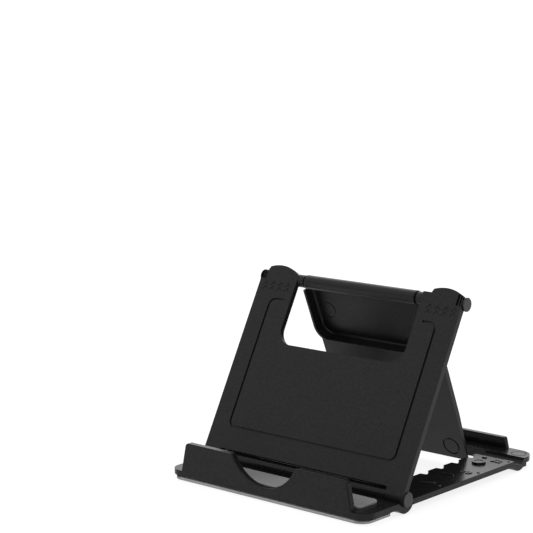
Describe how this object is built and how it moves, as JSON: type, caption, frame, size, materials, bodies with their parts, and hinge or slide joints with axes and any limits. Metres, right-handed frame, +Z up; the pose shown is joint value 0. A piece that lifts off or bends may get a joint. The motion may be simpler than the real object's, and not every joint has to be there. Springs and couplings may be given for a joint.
{
  "type": "foldable phone stand",
  "caption": "Foldable tablet and phone stand with a hinged back panel, a hinged support leg, notched rails and a front lip with a finger arch.",
  "frame": {"origin": "on the ground under the middle of the base frame", "axes": "+Z up, -Y towards the front lip and the user, X along the width"},
  "size_m": [0.0888, 0.1, 0.0695],
  "materials": {
    "body_plastic": "satin black, finely textured",
    "cap_plastic": "satin black",
    "grip_rubber": "smooth light grey",
    "foot_rubber": "matt light grey",
    "rod_steel": "black oxide rod"
  },
  "bodies": {
    "base": {"base_frame": "body_plastic", "tray_pad": "grip_rubber", "underside_pad": "foot_rubber", "foot_front_left": "foot_rubber", "foot_front_right": "foot_rubber", "foot_rear_left": "foot_rubber", "foot_rear_right": "foot_rubber"},
    "panel": {"back_panel": "body_plastic", "hinge_rod": "rod_steel", "hinge_cap_left": "cap_plastic", "hinge_cap_right": "cap_plastic", "lower_pin_left": "cap_plastic", "lower_pin_right": "cap_plastic"},
    "leg": {"support_leg": "body_plastic"}
  },
  "joints": [
    {"name": "panel_fold", "type": "hinge", "parent": "base", "child": "panel", "pos_m": [0, -0.029, 0.00502], "axis": [1, 0, 0], "range_deg": [-61.9, 14.3]},
    {"name": "leg_fold", "type": "hinge", "parent": "panel", "child": "leg", "pos_m": [0, 0.00235, 0.0648], "axis": [1, 0, 0], "range_deg": [-51.8, 0]}
  ]
}
